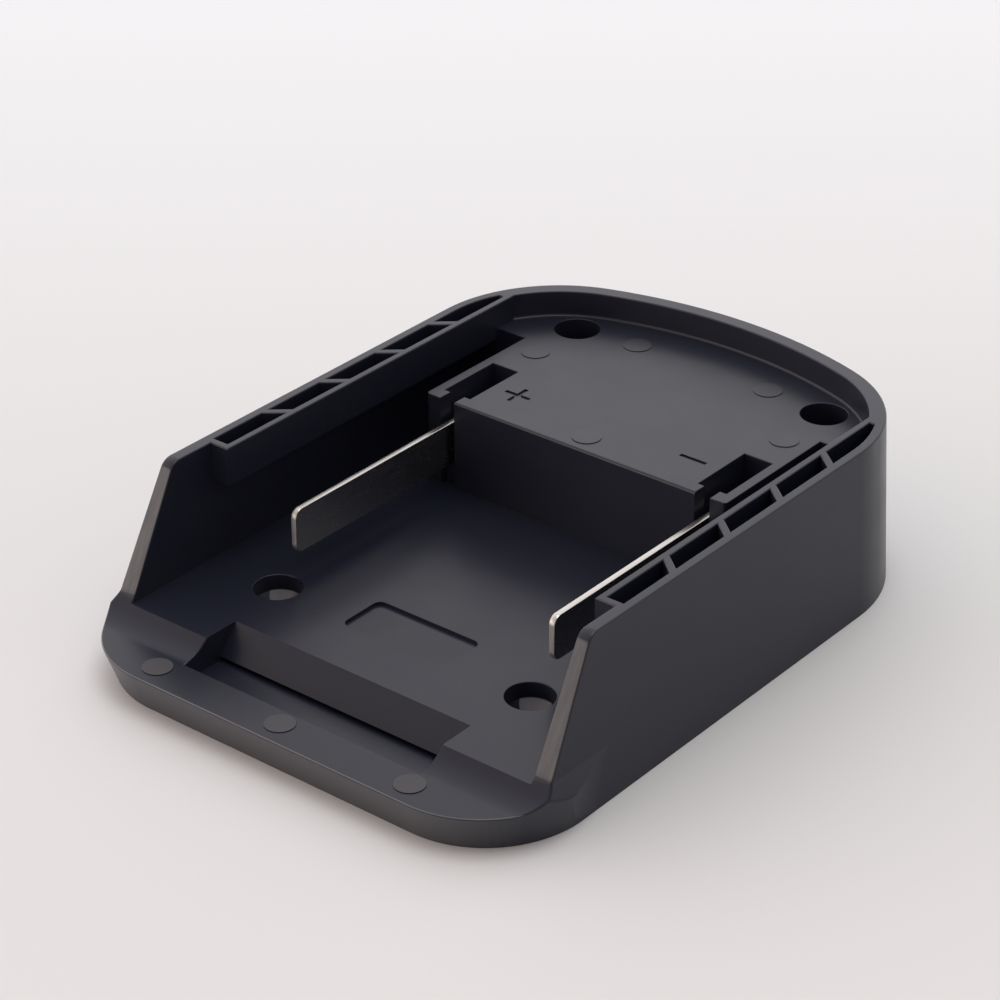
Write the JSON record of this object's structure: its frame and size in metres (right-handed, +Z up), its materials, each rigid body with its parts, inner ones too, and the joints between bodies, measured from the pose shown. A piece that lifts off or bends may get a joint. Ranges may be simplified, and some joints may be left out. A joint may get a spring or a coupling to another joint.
{
  "type": "tool battery adapter",
  "caption": "Moulded tray that a slide-in tool battery clips into, with side rails, a latch pocket, contact blades and a wiring cover, screwed to a bench or panel.",
  "frame": {"origin": "centre of the footprint's bounding box, on the surface that the tray stands on", "axes": "+Z up out of the tray, +Y from the open front to the rear wall, +X to the right seen from the open front"},
  "size_m": [0.0794, 0.1086, 0.026],
  "materials": {
    "tray_plastic": "semi-gloss moulded black",
    "cover_plastic": "fine-textured black",
    "contact_plating": "nickel-plated",
    "insert_brass": "turned",
    "fastener_steel": "zinc-plated"
  },
  "bodies": {
    "root": {"tray": "tray_plastic", "blade_pos": "contact_plating", "blade_neg": "contact_plating", "wiring_cover": "cover_plastic", "terminal_insert_pos": "insert_brass", "terminal_insert_neg": "insert_brass", "terminal_washer_pos": "fastener_steel", "terminal_washer_neg": "fastener_steel", "terminal_screw_pos": "fastener_steel", "terminal_screw_neg": "fastener_steel", "cover_screw_front_left": "fastener_steel", "cover_screw_front_right": "fastener_steel", "cover_screw_rear_left": "fastener_steel", "cover_screw_rear_right": "fastener_steel"}
  },
  "joints": []
}
